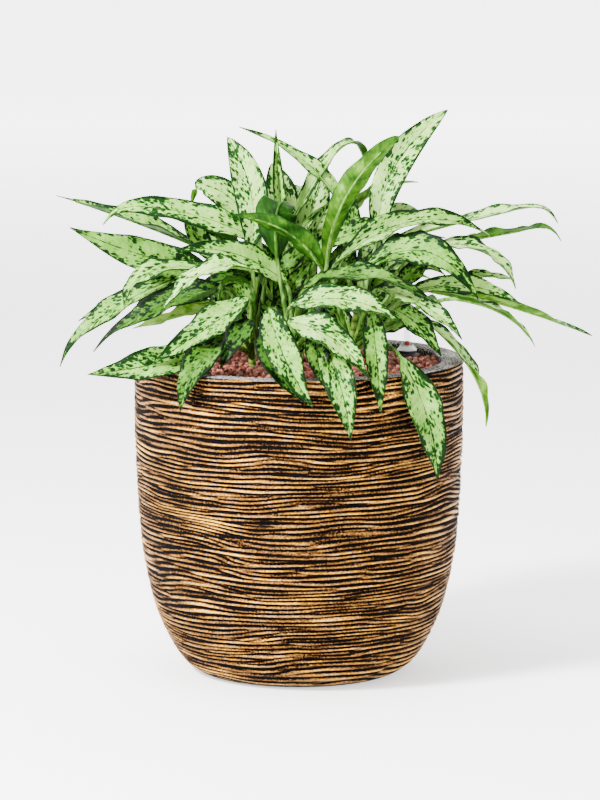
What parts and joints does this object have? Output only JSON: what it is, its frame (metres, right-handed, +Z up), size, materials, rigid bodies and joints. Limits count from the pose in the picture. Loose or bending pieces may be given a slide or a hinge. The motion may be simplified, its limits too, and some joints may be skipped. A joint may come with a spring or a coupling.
{
  "type": "potted silver queen chinese evergreen",
  "caption": "Bushy silver-leaved aroid with long patterned leaves, growing in clay granules in a ribbed, egg-shaped planter with a water gauge.",
  "frame": {"origin": "centre of the planter's round foot, on the floor", "axes": "+Z up along the planter's axis, -Y the side seen in front, +X to its right"},
  "size_m": [0.7014, 0.5409, 0.7278],
  "materials": {
    "planter": "rough cast composite, washed gold on the ribs and dark between them",
    "granules": "matt fired clay granules",
    "gauge_body": "moulded",
    "gauge_clear": "clear moulded",
    "float": "moulded",
    "leaf": "living leaf, silver green with dark green blotches, satin"
  },
  "bodies": {
    "root": {"planter": "planter", "substrate": "granules", "gauge_sleeve": "gauge_body", "gauge_window": "gauge_clear", "gauge_float": "float", "shoot_front_left": "leaf", "shoot_back_left": "leaf", "shoot_front": "leaf", "shoot_middle": "leaf", "shoot_back": "leaf", "shoot_front_right": "leaf", "shoot_back_right": "leaf"}
  },
  "joints": []
}
